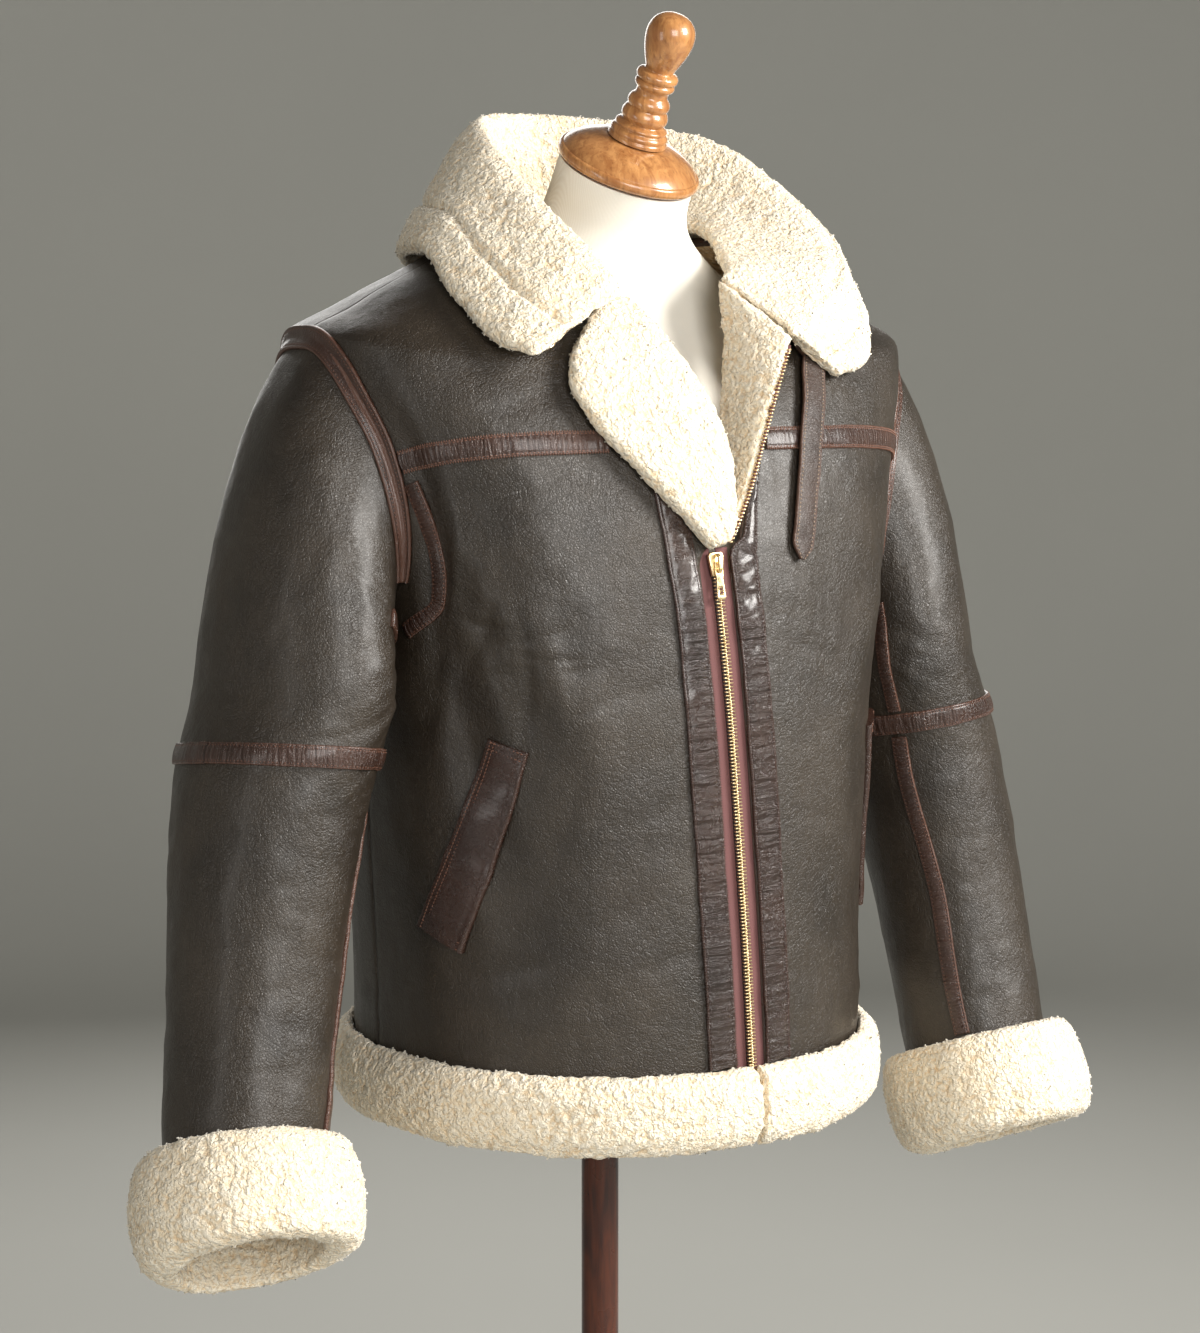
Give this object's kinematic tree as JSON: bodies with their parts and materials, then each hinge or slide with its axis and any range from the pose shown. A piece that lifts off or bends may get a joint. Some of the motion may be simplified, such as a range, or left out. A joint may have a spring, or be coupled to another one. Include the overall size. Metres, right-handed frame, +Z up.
{
  "type": "shearling coat on a dress form",
  "caption": "Short zip-front sheepskin flying coat with fleece collar, cuffs and hem, worn on a limbless dress form with a turned neck cap, pole and round base.",
  "frame": {"origin": "centre of the stand's underside, on the floor", "axes": "+Z up, the coat's front faces -Y, the wearer's left is +X"},
  "size_m": [0.8037, 0.4096, 1.6409],
  "materials": {
    "leather": "dark brown sheepskin leather with a soft sheen, fleece on the inner side",
    "trim": "glossy red-brown leather, stitched along both edges",
    "fleece": "cream curly sheepskin fleece, matt",
    "tape": "maroon woven zip tape",
    "brass": "polished brass",
    "linen": "cream linen cover of the dress form",
    "walnut": "varnished turned wood, mid brown",
    "mahogany": "varnished turned wood, dark red-brown"
  },
  "bodies": {
    "coat_on_stand": {"front_left": "leather", "front_right": "leather", "yoke_front_left": "leather", "yoke_front_right": "leather", "back": "leather", "yoke_back": "leather", "sleeve_upper_left": "leather", "sleeve_upper_right": "leather", "sleeve_lower_left": "leather", "sleeve_lower_right": "leather", "collar": "fleece", "hem_left": "fleece", "hem_right": "fleece", "hem_back": "fleece", "cuff_left": "fleece", "cuff_right": "fleece", "lapel_right": "fleece", "facing_left": "fleece", "yoke_strip_left": "trim", "yoke_strip_right": "trim", "yoke_strip_back": "trim", "armhole_strip_left": "trim", "armhole_strip_right": "trim", "elbow_strip_left": "trim", "elbow_strip_right": "trim", "seam_upper_left": "trim", "seam_upper_right": "trim", "seam_lower_left": "trim", "seam_lower_right": "trim", "gusset_sleeve_left": "trim", "gusset_sleeve_right": "trim", "gusset_strip_left": "trim", "gusset_strip_right": "trim", "placket_left": "trim", "placket_right": "trim", "welt_left": "trim", "welt_right": "trim", "throat_strap": "trim", "latch_tab": "trim", "zip_tape_left": "tape", "zip_tape_right": "tape", "zip_chain": "brass", "zip_teeth_left": "brass", "zip_slider": "brass", "zip_bridge": "brass", "zip_stop": "brass", "form_body": "linen", "neck_cap": "walnut", "finial": "walnut", "pole": "mahogany", "base": "mahogany"},
    "pull": {"zip_pull": "brass"},
    "ring": {"latch_ring": "brass"}
  },
  "joints": [
    {"name": "zip_pull_swing", "type": "hinge", "parent": "coat_on_stand", "child": "pull", "pos_m": [-0.01715, -0.19043, 1.2474], "axis": [-0.9991, 0.023, -0.0345], "range_deg": [0, 120]},
    {"name": "collar_ring_swing", "type": "hinge", "parent": "coat_on_stand", "child": "ring", "pos_m": [-0.12092, -0.11263, 1.41356], "axis": [-0.9691, 0.2465, 0], "range_deg": [0, 20]}
  ]
}
